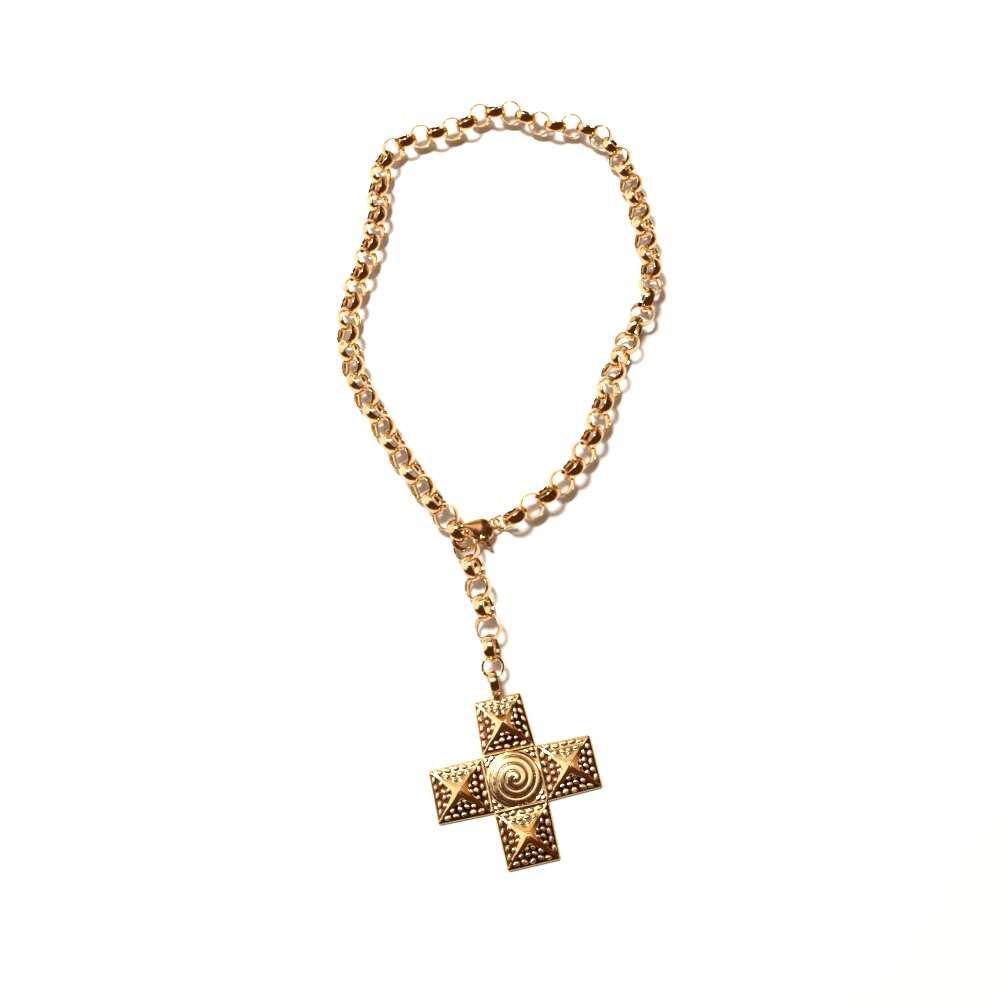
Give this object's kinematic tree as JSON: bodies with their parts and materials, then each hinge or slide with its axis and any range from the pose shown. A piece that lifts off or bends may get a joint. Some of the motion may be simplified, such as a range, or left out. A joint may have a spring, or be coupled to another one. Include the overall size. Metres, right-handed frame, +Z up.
{
  "type": "cross necklace",
  "caption": "Gold-plated chain necklace of round domed links, closed in front by a lobster clasp, with a short drop that carries a square-armed hammered cross with a spiral in its middle.",
  "frame": {"origin": "middle of the laid-out necklace's outline, on the surface that it lies on", "axes": "+Y from the cross towards the back of the neck, +Z up from the surface towards the viewer"},
  "size_m": [0.118, 0.2844, 0.0094],
  "materials": {
    "gold_plated_brass": "polished"
  },
  "bodies": {
    "necklace": {"neck_chain": "gold_plated_brass", "drop_chain": "gold_plated_brass", "clasp_body": "gold_plated_brass", "clasp_ring": "gold_plated_brass", "pendant_ring": "gold_plated_brass", "cross_pendant": "gold_plated_brass"},
    "lever": {"clasp_lever": "gold_plated_brass"}
  },
  "joints": [
    {"name": "lever_hinge", "type": "hinge", "parent": "necklace", "child": "lever", "pos_m": [-0.00573, -0.03811, 0.00369], "axis": [-0.2276, 0.0691, -0.9713], "range_deg": [0, 12], "stiffness_Nm_per_rad": 0.004, "springref_deg": -11.46}
  ]
}
